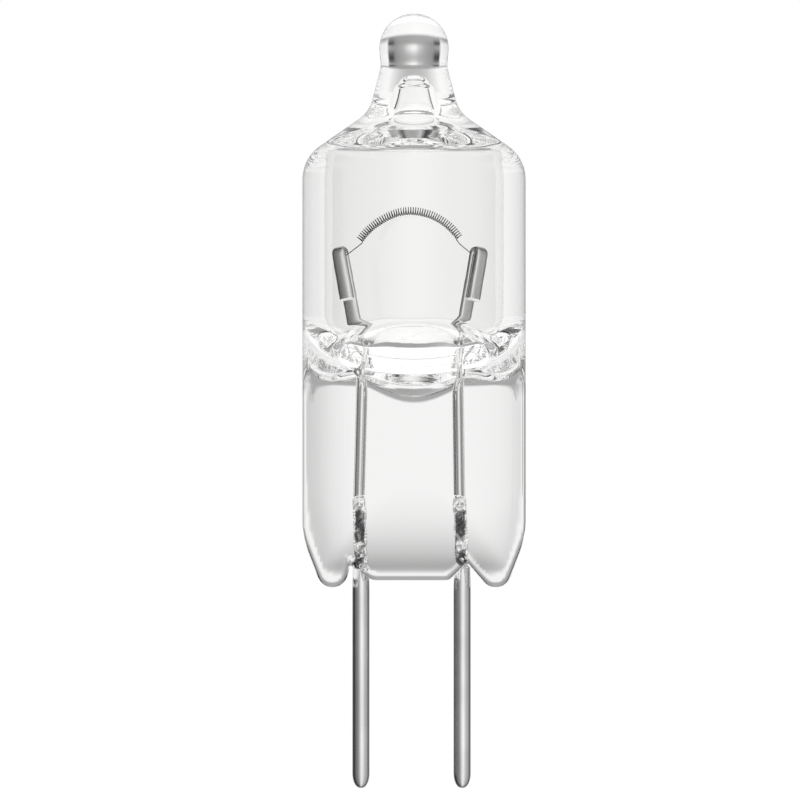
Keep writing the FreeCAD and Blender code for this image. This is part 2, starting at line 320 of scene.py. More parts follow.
def squeezed_share(z):
    """How far the jaws squeeze the tube's round sides out to square ones: fully in the seal, not above it."""
    return eased(np.clip((SQUEEZE_TOP - z) / SQUEEZE_HEIGHT, 0, 1))


def blank_field(x, y, z):
    """The glass before its faces are pressed: negative inside the tube, shoulder, neck and tip."""
    across = np.abs(x - GLASS_OFFSET)
    around = np.hypot(across, y)
    tube = around + (across - around) * squeezed_share(z) - BULB_RADIUS
    throat_radius = NECK_RADIUS + (NECK_HEIGHT - THROAT_HEIGHT) * math.tan(NECK_ANGLE)
    shoulder_run = (BULB_RADIUS - throat_radius, SHOULDER_HEIGHT - THROAT_HEIGHT)
    shoulder = half_plane(around, z, (throat_radius, THROAT_HEIGHT), shoulder_run)
    body = smooth_max(tube, shoulder, SHOULDER_BLEND)
    cone = half_plane(around, z, (NECK_RADIUS, NECK_HEIGHT), (math.sin(NECK_ANGLE), -math.cos(NECK_ANGLE)))
    tip_centre = TIP_TOP - TIP_RADIUS
    neck = np.maximum(np.maximum(cone, z - tip_centre), SHOULDER_HEIGHT - z)
    tip = np.hypot(around, z - tip_centre) - TIP_RADIUS
    return smooth_min(smooth_min(body, neck, THROAT_BLEND), tip, NECK_BLEND)


def panel_hollow(across, z):
    """How deep a pressed face is sunk within its rim."""
    flank_run = (LOBE_OFFSET + LOBE_RADIUS - BULB_RADIUS, -FLANK_TOP_HEIGHT)
    flank = -half_plane(np.abs(across), z, (BULB_RADIUS, FLANK_TOP_HEIGHT), flank_run)
    flank = soft_positive(flank - RIM_ROUND, PANEL_FOOT_BLEND)
    above_foot = soft_positive(z - MIDDLE_HEIGHT - RIM_ROUND, PANEL_FOOT_BLEND)
    inside = soft_least((BULB_RADIUS - np.abs(across), flank, above_foot), PANEL_CORNER)
    inside = np.clip(inside - PANEL_RIM_WIDTH, 0, None)
    inside = inside**2 / (inside + PANEL_RIM_WIDTH / 2)
    return PANEL_HOLLOW * (1 - np.exp(-inside / PANEL_SLOPE_WIDTH))


def jaw_field(x, y, z):
    """The two pressed faces, and above them the slopes that open out to the tube."""
    across = x - GLASS_OFFSET
    flat = np.abs(y) - SEAL_HALF + panel_hollow(across, z)
    middle = np.clip(1 - (across / SIDE_FOOT_WIDTH) ** 2, 0, None) ** FOOT_CURVE_POWER
    foot = FOOT_MIDDLE_HEIGHT + SIDE_FOOT_RISE * (1 - middle)
    depth = np.sqrt(np.clip(BULB_RADIUS**2 - across**2, 0, None))
    top = JAW_TOP_HEIGHT - JAW_TOP_DROP * ((BULB_RADIUS - depth) / JAW_TOP_SPAN) ** TOP_CURVE_POWER
    top = smooth_max(top, SIDE_FLARE_TOP, SIDE_FLARE_BLEND)
    opening = (np.maximum(depth, SIDE_FLARE_DEPTH) - SEAL_HALF) / (top - foot)
    slope = (np.abs(y) - SEAL_HALF - (z - foot) * opening) / np.hypot(1, opening)
    return smooth_min(flat, slope, JAW_FOOT_BLEND)


def lobe_field(x, z, side, notch):
    """A lobe at one side of the seal's foot, round below, between its flank and the notch beside it."""
    centre = (side * LOBE_OFFSET + GLASS_OFFSET, LOBE_RADIUS)
    flank_top = (side * BULB_RADIUS + GLASS_OFFSET, FLANK_TOP_HEIGHT)
    outer = tangent_point(flank_top, centre, LOBE_RADIUS, -side)
    inner = tangent_point(notch, centre, LOBE_RADIUS, side)
    out_x, out_z = (outer[0] - centre[0]) / LOBE_RADIUS, (outer[1] - centre[1]) / LOBE_RADIUS
    in_x, in_z = (inner[0] - centre[0]) / LOBE_RADIUS, (inner[1] - centre[1]) / LOBE_RADIUS
    away_x, away_z = x - centre[0], z - centre[1]
    sides = np.maximum(away_x * out_x + away_z * out_z, away_x * in_x + away_z * in_z)
    past_outer = (away_x * out_z - away_z * out_x) * side
    past_inner = -(away_x * in_z - away_z * in_x) * side
    below = (past_outer > 0) & (past_inner > 0)
    return np.where(below, np.hypot(away_x, away_z), sides) - LOBE_RADIUS


def foot_field(x, z):
    """The lower outline of the seal, seen from the front."""
    left_slope = (MIDDLE_LEFT - NOTCH_LEFT[0], MIDDLE_HEIGHT - NOTCH_LEFT[1])
    right_slope = (NOTCH_RIGHT[0] - MIDDLE_RIGHT, NOTCH_RIGHT[1] - MIDDLE_HEIGHT)
    middle = MIDDLE_HEIGHT - z
    middle = smooth_max(middle, -half_plane(x, z, NOTCH_LEFT, left_slope), MIDDLE_BLEND)
    middle = smooth_max(middle, -half_plane(x, z, NOTCH_RIGHT, right_slope), MIDDLE_BLEND)
    foot = smooth_min(middle, lobe_field(x, z, -1, NOTCH_LEFT), NOTCH_BLEND)
    return smooth_min(foot, lobe_field(x, z, 1, NOTCH_RIGHT), NOTCH_BLEND)


def round_max(first, second, radius):
    """The larger of two fields that meet at a right angle, with a round edge between them."""
    corner = np.hypot(np.clip(first + radius, 0, None), np.clip(second + radius, 0, None)) - radius
    return np.minimum(np.maximum(first, second), -radius) + np.clip(corner + radius, 0, None)


def outer_field(x, y, z):
    """The outside of the glass: tube and tip, pressed by the jaws and cut to the seal's lower outline."""
    jaws = jaw_field(x, y, z)
    edge_blend = JAW_EDGE_BLEND + (SEAL_EDGE_BLEND - JAW_EDGE_BLEND) * squeezed_share(z)
    pressed = smooth_max(blank_field(x, y, z), jaws, edge_blend)
    return round_max(pressed, foot_field(x, z), RIM_ROUND)


def gas_field(x, y, z):
    """The hollow of the bulb: negative inside it."""
    across = x - GLASS_OFFSET
    around = np.hypot(across, y)
    radius = BULB_RADIUS - BULB_WALL
    wedge_run = (-math.sin(WEDGE_ANGLE), -math.cos(WEDGE_ANGLE))
    wedge = half_plane(np.abs(y), z, (WEDGE_HALF_WIDTH, GAS_FLOOR_HEIGHT), wedge_run)
    floor = GAS_FLOOR_HEIGHT + GAS_FLOOR_CURVE * across**2 - z
    tube = smooth_max(smooth_max(around - radius, wedge, WEDGE_TOP_BLEND), floor, GAS_FLOOR_BLEND)
    shoulder_run = (radius - INNER_THROAT_RADIUS, INNER_SHOULDER_HEIGHT - INNER_THROAT_HEIGHT)
    shoulder = half_plane(around, z, (INNER_THROAT_RADIUS, INNER_THROAT_HEIGHT), shoulder_run)
    body = smooth_max(tube, shoulder, INNER_SHOULDER_BLEND)
    neck_run = (INNER_THROAT_RADIUS - INNER_NECK_RADIUS, INNER_THROAT_HEIGHT - INNER_NECK_HEIGHT)
    cone = half_plane(around, z, (INNER_NECK_RADIUS, INNER_NECK_HEIGHT), neck_run)
    dome = np.hypot(around, z - (INNER_NECK_HEIGHT - INNER_NECK_RADIUS)) - INNER_NECK_RADIUS
    neck = smooth_max(cone, z - INNER_NECK_HEIGHT + INNER_NECK_RADIUS, INNER_NECK_BLEND)
    neck = np.maximum(neck, SHOULDER_HEIGHT - INNER_NECK_OVERLAP - z)
    neck = smooth_min(neck, dome, INNER_NECK_BLEND)
    return smooth_min(body, neck, INNER_THROAT_BLEND)


def glass_field(points):
    """The envelope, in the frame's own heights: negative inside the glass itself."""
    x, y, z = points[..., 0], points[..., 1], points[..., 2] - FRAME_LIFT
    return np.maximum(outer_field(x, y, z), -gas_field(x, y, z))


def field_slope(field, points):
    """Which way a field rises at each point, and how steeply."""
    slope = np.empty_like(points)
    for axis in range(3):
        shift = np.zeros(3)
        shift[axis] = SLOPE_STEP
        slope[..., axis] = (field(points + shift) - field(points - shift)) / (2 * SLOPE_STEP)
    return slope


def edge_ends(axis):
    """The parts of a grid that hold the two ends of every edge along one axis."""
    start = [slice(None)] * 3
    end = [slice(None)] * 3
    start[axis] = slice(0, -1)
    end[axis] = slice(1, None)
    return tuple(start), tuple(end)


def points_in_cells(grid, value, step):
    """A point in each cell that the surface crosses, midway between its crossings, and the cells' numbers."""
    inside = value < 0
    cells = tuple(size - 1 for size in inside.shape)
    total = np.zeros(cells + (3,))
    count = np.zeros(cells)
    for axis in range(3):
        start, end = edge_ends(axis)
        crossed = inside[start] != inside[end]
        share = value[start] / np.where(crossed, value[start] - value[end], 1)
        where = grid[start].copy()
        where[..., axis] += share * step
        first_axis, second_axis = [other for other in range(3) if other != axis]
        for first in (0, 1):
            for second in (0, 1):
                part = [slice(None)] * 3
                part[first_axis] = slice(first, first + cells[first_axis])
                part[second_axis] = slice(second, second + cells[second_axis])
                part = tuple(part)
                hit = crossed[part]
                total += np.where(hit[..., None], where[part], 0)
                count += hit
    used = count > 0
    index = np.full(cells, -1)
    index[used] = np.arange(used.sum())
    return total[used] / count[used][:, None], index


def faces_along(axis, inside, index):
    """A four-sided face, turned outwards, round each edge along one axis that the surface crosses."""
    start, end = edge_ends(axis)
    first, second = (axis + 1) % 3, (axis + 2) % 3
    places = np.argwhere(inside[start] != inside[end])
    places = places[(places[:, first] > 0) & (places[:, second] > 0)]
    corners = []
    for back_first, back_second in ((1, 1), (0, 1), (0, 0), (1, 0)):
        corner = places.copy()
        corner[:, first] -= back_first
        corner[:, second] -= back_second
        corners.append(index[corner[:, 0], corner[:, 1], corner[:, 2]])
    quads = np.stack(corners, axis=-1)
    flip = ~inside[start][places[:, 0], places[:, 1], places[:, 2]]
    quads[flip] = quads[flip][:, ::-1]
    return quads


def surface_of(field, low, high, step):
    """Points and four-sided faces of the surface where the field is zero, set on it exactly."""
    axes = [np.arange(low[i], high[i] + step, step) for i in range(3)]
    grid = np.stack(np.meshgrid(*axes, indexing="ij"), axis=-1)
    value = field(grid)
    points, index = points_in_cells(grid, value, step)
    for _ in range(SETTLING_ROUNDS):
        slope = field_slope(field, points)
        steepness = np.maximum((slope**2).sum(axis=-1), LEAST_STEEPNESS)
        points -= slope * (field(points) / steepness)[:, None]
    faces = [faces_along(axis, value < 0, index) for axis in range(3)]
    return points, np.concatenate(faces)


def make_piece(name, points, faces, node, material, normals=None):
    """A mesh object from points in millimetres, which takes the place of a CAD node."""
    mesh = bpy.data.meshes.new(name)
    mesh.from_pydata((points * MM).tolist(), [], faces)
    mesh.shade_smooth()
    if normals is not None:
        mesh.normals_split_custom_set_from_vertices(normals.tolist())
    mesh.materials.append(material)
    piece = bpy.data.objects.new(name, mesh)
    bpy.context.scene.collection.objects.link(piece)
    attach(piece, "root")
    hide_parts(node)


def ring(centre, across, deep, half_width, half_depth, power=ROUND_POWER, sides=RING_SIDES):
    """A closed outline round a point: an ellipse at power 2, and nearer a rounded box the higher it is."""
    turn = 2 * math.pi * (np.arange(sides) + 0.5) / sides
    wide = np.sign(np.cos(turn)) * np.abs(np.cos(turn)) ** (2 / power) * half_width
    thick = np.sign(np.sin(turn)) * np.abs(np.sin(turn)) ** (2 / power) * half_depth
    return np.asarray(centre) + wide[:, None] * np.asarray(across) + thick[:, None] * np.asarray(deep)


def loft(rings):
    """The closed skin through a row of rings with as many points each."""
    size = len(rings[0])
    faces = []
    for row in range(len(rings) - 1):
        for column in range(size):
            following = (column + 1) % size
            low, high = row * size, (row + 1) * size
            faces.append((low + column, low + following, high + following, high + column))
    last = (len(rings) - 1) * size
    faces.append(tuple(range(size - 1, -1, -1)))
    faces.append(tuple(range(last, last + size)))
    return np.concatenate(rings), faces


def join(*shapes):
    """Several shapes of (points, faces) as one."""
    points, faces, count = [], [], 0
    for shape_points, shape_faces in shapes:
        points.append(shape_points)
        faces += [tuple(corner + count for corner in face) for face in shape_faces]
        count += len(shape_points)
    return np.concatenate(points), faces


def lifted(shape):
    """A shape moved from its own heights to the frame's."""
    points, faces = shape
    return points + np.array([0, 0, FRAME_LIFT]), faces


def half_round_tail(offset, bottom, top, bottom_radius, top_radius):
    """The tapered half rod behind a foil."""
    turn = np.linspace(0, math.pi, TAIL_COLUMNS)
    rings = []
    for share in np.linspace(0, 1, TAIL_ROWS):
        radius = bottom_radius + (top_radius - bottom_radius) * share
        across = offset + radius * np.cos(turn)
        deep = FOIL_THICKNESS / 2 + (radius - FOIL_THICKNESS / 2) * np.sin(turn)
        height = np.full(TAIL_COLUMNS, bottom + (top - bottom) * share)
        rings.append(np.stack([across, deep, height], axis=-1))
    return loft(rings)


def pin_profile():
    """Radius and height up a pin: its blunt nose, its shank and the thinner part in the seal."""
    nose_start = PIN_NOSE_LENGTH - PIN_REACH
    profile = [(PIN_TIP_RADIUS, -PIN_REACH)]
    for turn in np.linspace(math.pi / 2, 0, PIN_ROWS["nose"])[1:]:
        radius = PIN_RADIUS * math.cos(turn) ** PIN_NOSE_POWER
        profile.append((radius, nose_start - PIN_NOSE_LENGTH * math.sin(turn)))
    for height in np.linspace(nose_start, -FRAME_LIFT, PIN_ROWS["shank"])[1:]:
        profile.append((PIN_RADIUS, height))
    for turn in np.linspace(0, math.pi / 2, PIN_ROWS["shoulder"]):
        radius = PIN_SEALED_RADIUS - PIN_SHOULDER_ROUND * (1 - math.cos(turn))
        profile.append((radius, PIN_EMBEDMENT - PIN_SHOULDER_ROUND * (1 - math.sin(turn))))
    return profile


def make_pin(side, material):
    """A round pin and its tail behind the foil."""
    offset = PIN_OFFSETS[side]
    rings = []
    for radius, height in pin_profile():
        rings.append(ring((offset, 0, height), (1, 0, 0), (0, 1, 0), radius, radius, sides=PIN_SIDES))
    tail_start = PIN_EMBEDMENT - PIN_SHOULDER_ROUND
    tail_end = PIN_EMBEDMENT + PIN_TAIL_LENGTH
    tail = half_round_tail(offset, tail_start, tail_end, PIN_TAIL_RADIUS, PIN_TAIL_END_RADIUS)
    points, faces = lifted(join(loft(rings), tail))
    make_piece("contact_pin_" + side, points, faces, "pin_" + side, material)


def seated_rings(seat, bend, across, deep):
    """A lead's round wire in the seal, from its rounded end up to its bend."""
    rings = []
    for turn in np.linspace(0, math.pi / 2, LEAD_ROWS["end"]):
        radius = LEAD_RADIUS - LEAD_END_ROUND * (1 - math.sin(turn))
        rise = LEAD_END_ROUND * (1 - math.cos(turn))
        rings.append(ring(seat + [0, 0, rise], across, deep, radius, radius))
    for share in np.linspace(SEATED_MARGIN, 1 - SEATED_MARGIN, LEAD_ROWS["seated"]):
        rings.append(ring(seat + (bend - seat) * share, across, deep, LEAD_RADIUS, LEAD_RADIUS))
    return rings


def rolled_rings(bend, along, across, deep, flat_power):
    """A lead where it goes from round to flat above its bend."""
    rings = []
    for share in np.linspace(ROLLED_START, 1, LEAD_ROWS["rolled"]):
        flatness = eased(share)
        centre = bend + along * FLATTENING_LENGTH * share + deep * FOLD_SHIFT * flatness
        half_width = LEAD_RADIUS + (FLAT_WIDTH / 2 - LEAD_RADIUS) * flatness
        half_depth = LEAD_RADIUS + (FLAT_THICKNESS / 2 - LEAD_RADIUS) * flatness
        power = ROUND_POWER + (flat_power - ROUND_POWER) * flatness
        rings.append(ring(centre, across, deep, half_width, half_depth, power))
    return rings


def fold_rings(fold, along, across, deep, flat_power):
    """A lead's fold at its top, from behind the filament's leg over to its front."""
    rings = []
    for turned in np.linspace(0, math.pi, LEAD_ROWS["fold"]):
        outwards = deep * math.cos(turned) + along * math.sin(turned)
        half_width = FLAT_WIDTH / 2 - FOLD_CORNER * math.sin(turned) ** 4
        half_depth = (FLAT_THICKNESS + (FLAP_THICKNESS - FLAT_THICKNESS) * turned / math.pi) / 2
        power = flat_power + FOLD_SQUARENESS * math.sin(turned) ** 2
        rings.append(ring(fold + outwards * FOLD_SHIFT, across, outwards, half_width, half_depth, power))
    return rings


def flap_rings(fold, length, along, across, deep, flat_power):
    """A lead's end that is folded down in front of the filament's leg, with its rounded corners."""
    corner_start = length - FLAP_CORNER
    drops = list(np.linspace(0, corner_start, LEAD_ROWS["flap"])[1:])
    for turn in np.linspace(0, math.pi / 2, LEAD_ROWS["corner"])[1:]:
        drops.append(length - FLAP_CORNER * (1 - math.sin(turn)))
    rings = []
    for drop in drops:
        into_corner = max(drop - length + FLAP_CORNER, 0) / FLAP_CORNER
        inset = 1 - math.sqrt(max(1 - into_corner**2, 0))
        half_width = FLAT_WIDTH / 2 - FLAP_CORNER * inset
        half_depth = FLAP_THICKNESS / 2 * (1 - FLAP_END_THINNING * inset)
        centre = fold - along * drop - deep * FOLD_SHIFT
        rings.append(ring(centre, across, -deep, half_width, half_depth, flat_power))
    return rings


def make_lead(side, material):
    """The wire rises from the foil, leans outwards, is rolled flat and folds back over the filament's leg."""
    seat = np.array([LEAD_SEATS[side], 0, LEAD_SEAT_HEIGHT])
    bend = np.array([LEAD_BENDS[side], 0, LEAD_BEND_HEIGHT])
    top = np.array([LEAD_TOPS[side], 0, LEAD_TOP_HEIGHT])
    along = (top - bend) / np.linalg.norm(top - bend)
    level = np.cross([0, 1, 0], along)
    turn = LEAD_TURNS[side]
    deep = math.cos(turn) * np.array([0, 1, 0]) + math.sin(turn) * level
    across = np.cross(deep, along)
    flat_power = FLAT_POWERS[side]
    fold_height = FOLD_SHIFT + FLAT_THICKNESS / 2
    fold_start = np.linalg.norm(top - bend) - fold_height
    fold = bend + along * fold_start
    rings = seated_rings(seat, bend, across, deep)
    rings += rolled_rings(bend, along, across, deep, flat_power)
    for distance in np.linspace(FLATTENING_LENGTH, fold_start, LEAD_ROWS["flat"])[1:-1]:
        centre = bend + along * distance + deep * FOLD_SHIFT
        rings.append(ring(centre, across, deep, FLAT_WIDTH / 2, FLAT_THICKNESS / 2, flat_power))
    rings += fold_rings(fold, along, across, deep, flat_power)
    rings += flap_rings(fold, FOLD_LENGTH - fold_height, along, across, deep, flat_power)
    tail = half_round_tail(
        LEAD_SEATS[side],
        LEAD_SEAT_HEIGHT - LEAD_TAIL_LENGTH,
        LEAD_SEAT_HEIGHT + LEAD_END_ROUND,
        LEAD_TAIL_END_RADIUS,
        LEAD_RADIUS - LEAD_END_ROUND,
    )
    points, faces = lifted(join(loft(rings), tail))
    make_piece("lead_wire_" + side, points, faces, "inner_lead_" + side, material)


def crease(wave, height, across):
    """Where a wave stands at a place on a foil, from its radians per millimetre up and across."""
    return wave[0] * height + wave[1] * across


def foil_depth(height, across, phase):
    """How far a foil stands out of its plane: creases, calmer round the dented weld."""
    waves = np.sin(crease(LONG_CREASE, height, across) + phase) * np.cos(crease(CROSS_CREASE, height, across))
    waves += SLANTED_SHARE * np.sin(crease(SLANTED_CREASE, height, across) + 2 * phase)
    swinging = across * np.cos(FINE_CREASE_SWING * height)
    waves += FINE_SHARE * np.sin(crease(FINE_CREASE, height, swinging))
    calm = np.exp(-(((height - WELD_HEIGHT) / WELD_CALM_LENGTH) ** 2))
    from_weld = np.hypot(across, height - WELD_HEIGHT) / WELD_RADIUS
    dent = WELD_DENT * np.exp(-(from_weld**2))
    lip = WELD_LIP * np.exp(-((from_weld - WELD_LIP_REACH) ** 2) / WELD_LIP_SPREAD)
    return FOIL_CRUMPLE * waves * (1 - WELD_CALM * calm) + (dent - lip)


def make_foil(side, material):
    """A thin strip, crumpled where the hot glass pressed on it, with the lead's weld dented into its top."""
    columns = np.linspace(-1, 1, FOIL_COLUMNS)
    phase = FOIL_PHASES[side]
    rings = []
    for height in np.linspace(FOIL_BOTTOM, FOIL_TOP, FOIL_ROWS):
        share = (height - FOIL_BOTTOM) / (FOIL_TOP - FOIL_BOTTOM)
        middle = PIN_OFFSETS[side] + (LEAD_SEATS[side] - PIN_OFFSETS[side]) * share
        middle += FOIL_SWAY * math.sin(FOIL_SWAY_WAVE * height + phase)
        waist = FOIL_WAIST * math.sin(FOIL_WAIST_WAVE * height + 2 * phase) ** 2
        end = min(height - FOIL_BOTTOM, FOIL_TOP - height)
        half_width = FOIL_WIDTH / 2 * (1 - waist) - FOIL_END_INSET * math.exp(-end / FOIL_END_LENGTH)
        across = columns * half_width
        deep = foil_depth(height, across, phase)
        level = np.full(FOIL_COLUMNS, height)
        front = np.stack([middle + across, deep - FOIL_THICKNESS / 2, level], axis=-1)
        back = np.stack([middle + across, deep + FOIL_THICKNESS / 2, level], axis=-1)
        rings.append(np.concatenate([front, back[::-1]]))
    points, faces = lifted(loft(rings))
    make_piece("seal_foil_" + side, points, faces, "foil_" + side, material)


def coil_points():
    """The coil, bowed to an arch. Each turn stands upright over the top and steps on at the underside."""
    count = COIL_TURNS * STEPS_PER_TURN
    share = np.arange(count + 1) / count
    around = math.pi + 2 * math.pi * COIL_TURNS * share
    stepped = share - COIL_STEP * np.sin(around) / (2 * math.pi * COIL_TURNS)
    along = ARCH_HALF_ANGLE * (2 * stepped - 1)
    reach = ARCH_RADIUS + COIL_RADIUS * np.cos(around)
    across = ARCH_OFFSET + reach * np.sin(along)
    height = ARCH_TOP - ARCH_RADIUS + reach * np.cos(along)
    to_left = np.clip(-along / ARCH_HALF_ANGLE / ARCH_SAG_SPAN, 0, 1)
    height -= ARCH_LEFT_SAG * (1 - np.cos(math.pi * to_left)) / 2
    return np.stack([across, COIL_RADIUS * np.sin(around), height], axis=-1)


def leg_points(end, knee, coil_end):
    """A leg of the filament: straight up from the lead, and round a soft knee towards the coil."""
    end = np.array([end[0], 0, end[1]])
    knee = np.array([knee[0], 0, knee[1]])
    points = [end + (knee - end) * part for part in np.linspace(0, LEG_STRAIGHT_SHARE, LEG_ROWS)]
    knee_start = points[-1]
    for part in np.linspace(KNEE_MARGIN, 1 - KNEE_MARGIN, KNEE_ROWS):
        first = knee_start + (knee - knee_start) * part
        second = knee + (coil_end - knee) * part * KNEE_REACH
        points.append(first + (second - first) * part)
    return np.array(points)


def filament_path():
    """Points along the whole wire, from the left leg's end to the right one's."""
    coil = coil_points()
    left = leg_points(LEG_END_LEFT, KNEE_LEFT, coil[0])
    right = leg_points(LEG_END_RIGHT, KNEE_RIGHT, coil[-1])
    return np.concatenate([left, coil, right[::-1]])


def make_filament(material):
    """Round wire along the path, its rings turned as little as the path allows."""
    path = filament_path()
    heading = np.gradient(path, axis=0)
    heading /= np.linalg.norm(heading, axis=-1, keepdims=True)
    across = np.cross([0, 1, 0], heading[0])
    rings = []
    for centre, ahead in zip(path, heading):
        across = across - ahead * (across @ ahead)
        across /= np.linalg.norm(across)
        deep = np.cross(ahead, across)
        rings.append(ring(centre, across, deep, WIRE_RADIUS, WIRE_RADIUS, sides=WIRE_SIDES))
    points, faces = lifted(loft(rings))
    make_piece("coil_filament", points, faces, "filament", material)


def make_glass(material):
    """The whole envelope, worked out in a grid with a few cells to spare all round."""
    margin = SPARE_CELLS * GRID_STEP
    low = np.array([GLASS_OFFSET - BULB_RADIUS, -BULB_RADIUS, 0]) - margin
    high = np.array([GLASS_OFFSET + BULB_RADIUS, BULB_RADIUS, TIP_TOP + FRAME_LIFT]) + margin
    points, faces = surface_of(glass_field, low, high, GRID_STEP)
    normals = field_slope(glass_field, points)
    normals /= np.linalg.norm(normals, axis=-1, keepdims=True)
    make_piece("quartz_bulb", points, faces.tolist(), "glass_envelope", material, normals)


def new_material(name):
    """A new material, its node tree and its shader."""
    material = bpy.data.materials.new(name)
    material.use_nodes = True
    return material, material.node_tree, material.node_tree.nodes["Principled BSDF"]


# The value that noise lies round
NOISE_MIDDLE = 0.5


def grain(tree, scale, detail=3.0):
    """Noise over the piece, with so many features per millimetre along X, Y and Z."""
    place = tree.nodes.new("ShaderNodeTexCoord")
    mapping = tree.nodes.new("ShaderNodeMapping")
    tree.links.new(place.outputs["Object"], mapping.inputs["Vector"])
    mapping.inputs["Scale"].default_value = [size / MM for size in scale]
    noise = tree.nodes.new("ShaderNodeTexNoise")
    tree.links.new(mapping.outputs["Vector"], noise.inputs["Vector"])
    noise.inputs["Scale"].default_value = 1.0
    noise.inputs["Detail"].default_value = detail
    return noise.outputs["Fac"]


def ramp(tree, value, stops):
    """A colour or grey read off stops of (value, colour)."""
    node = tree.nodes.new("ShaderNodeValToRGB")
    tree.links.new(value, node.inputs["Fac"])
    elements = node.color_ramp.elements
    while len(elements) < len(stops):
        elements.new(0.5)
    for element, (at, colour) in zip(elements, stops):
        element.position = at
        element.color = (*colour, 1) if isinstance(colour, tuple) else (colour, colour, colour, 1)
    return node.outputs["Color"]


def bump(tree, shader, height, distance, strength):
    """Relief on a shader, with its distance in millimetres."""
    node = tree.nodes.new("ShaderNodeBump")
    node.inputs["Distance"].default_value = distance * MM
    node.inputs["Strength"].default_value = strength
    tree.links.new(height, node.inputs["Height"])
    tree.links.new(node.outputs["Normal"], shader.inputs["Normal"])


def math_node(tree, operation, *values, clamped=False):
    """A number worked out from numbers and other nodes' outputs."""
    node = tree.nodes.new("ShaderNodeMath")
    node.operation = operation
    node.use_clamp = clamped
    for socket, value in zip(node.inputs, values):
        if isinstance(value, (int, float)):
            socket.default_value = value
        else:
            tree.links.new(value, socket)
    return node.outputs[0]


def quartz_material():
    """Clear fused quartz, with the faint streaks that drawing leaves along a tube."""
    material, tree, shader = new_material("quartz_glass")
    shader.inputs["Roughness"].default_value = 0
    shader.inputs["IOR"].default_value = QUARTZ_IOR
    shader.inputs["Transmission Weight"].default_value = 1
    streaks = grain(tree, (1.6, 1.6, 0.12))
    colour = ramp(tree, streaks, [(0.3, (0.984, 0.983, 0.978)), (0.7, (0.990, 0.989, 0.986))])
    tree.links.new(colour, shader.inputs["Base Color"])
    bump(tree, shader, streaks, distance=0.004, strength=0.5)
    return material


def nickel_material():
    """Bright nickel on the pins, with faint lengthwise drawing marks and a few duller patches."""
    material, tree, shader = new_material("pin_metal")
    shader.inputs["Metallic"].default_value = 1
    marks = grain(tree, (14.0, 14.0, 0.5), detail=4.0)
    patches = grain(tree, (1.1, 1.1, 0.6), detail=2.0)
    colour = ramp(tree, patches, [(0.35, (0.80, 0.80, 0.81)), (0.65, (0.90, 0.90, 0.905))])
    tree.links.new(colour, shader.inputs["Base Color"])
    tree.links.new(ramp(tree, patches, [(0.3, 0.07), (0.7, 0.13)]), shader.inputs["Roughness"])
    bump(tree, shader, marks, distance=0.003, strength=0.25)
    return material


def molybdenum_material():
    """Satin molybdenum wire, streaked along its length by rolling."""
    material, tree, shader = new_material("molybdenum_wire")
    shader.inputs["Metallic"].default_value = 1
    streaks = grain(tree, (9.0, 9.0, 0.35), detail=5.0)
    colour = ramp(tree, streaks, [(0.3, (0.80, 0.80, 0.795)), (0.7, (0.92, 0.92, 0.915))])
    tree.links.new(colour, shader.inputs["Base Color"])
    tree.links.new(ramp(tree, streaks, [(0.3, 0.13), (0.7, 0.08)]), shader.inputs["Roughness"])
    bump(tree, shader, streaks, distance=0.003, strength=0.12)
    return material


def foil_material():
    """Crumpled molybdenum foil: darker along its middle, lighter at its edges, round its weld and in bands up
    its height.
    """
    material, tree, shader = new_material("molybdenum_foil")
    shader.inputs["Metallic"].default_value = 1
    mottle = grain(tree, (4.5, 4.5, 2.6), detail=5.0)
    place = tree.nodes.new("ShaderNodeTexCoord")
    split = tree.nodes.new("ShaderNodeSeparateXYZ")
    tree.links.new(place.outputs["Generated"], split.inputs[0])
    from_middle = math_node(tree, "SUBTRACT", split.outputs["X"], FOIL_MIDDLE)
    from_middle = math_node(tree, "ABSOLUTE", from_middle)
    # Lightness up the strip and out towards its edges, the larger of the two, then speckled by noise
    lightness_by_height = ramp(tree, split.outputs["Z"], FOIL_LIGHTNESS)
    lightness = math_node(tree, "MAXIMUM", ramp(tree, from_middle, FOIL_EDGE_LIGHTNESS), lightness_by_height)
    speckle = math_node(tree, "SUBTRACT", mottle, NOISE_MIDDLE)
    speckle = math_node(tree, "MULTIPLY", speckle, FOIL_SPECKLE)
    lightness = math_node(tree, "ADD", lightness, speckle, clamped=True)
    tree.links.new(ramp(tree, lightness, FOIL_GREYS), shader.inputs["Base Color"])
    tree.links.new(ramp(tree, mottle, [(0.35, 0.45), (0.65, 0.15)]), shader.inputs["Roughness"])
    bump(tree, shader, mottle, distance=0.03, strength=0.5)
    return material


def tungsten_material():
    """Drawn tungsten wire, dull grey, a little lighter where the die polished it."""
    material, tree, shader = new_material("tungsten")
    shader.inputs["Metallic"].default_value = 1
    wear = grain(tree, (6.0, 6.0, 6.0), detail=2.0)
    colour = ramp(tree, wear, [(0.35, (0.04, 0.04, 0.041)), (0.65, (0.11, 0.109, 0.108))])
    tree.links.new(colour, shader.inputs["Base Color"])
    tree.links.new(ramp(tree, wear, [(0.3, 0.42), (0.7, 0.28)]), shader.inputs["Roughness"])
    return material


def strength_ramp(tree, value, stops):
    """A brightness read off stops of (value, brightness), with straight runs between them."""
    low, high = stops[0][0], stops[-1][0]
    place = tree.nodes.new("ShaderNodeMapRange")
    tree.links.new(value, place.inputs["Value"])
    place.inputs["From Min"].default_value = low
    place.inputs["From Max"].default_value = high
    return ramp(tree, place.outputs["Result"], [((at - low) / (high - low), grey) for at, grey in stops])


# A Mix node's sockets for its factor and two colours, and for the colour that it gives
MIX_INPUTS = (0, 6, 7)
MIX_OUTPUT = 2


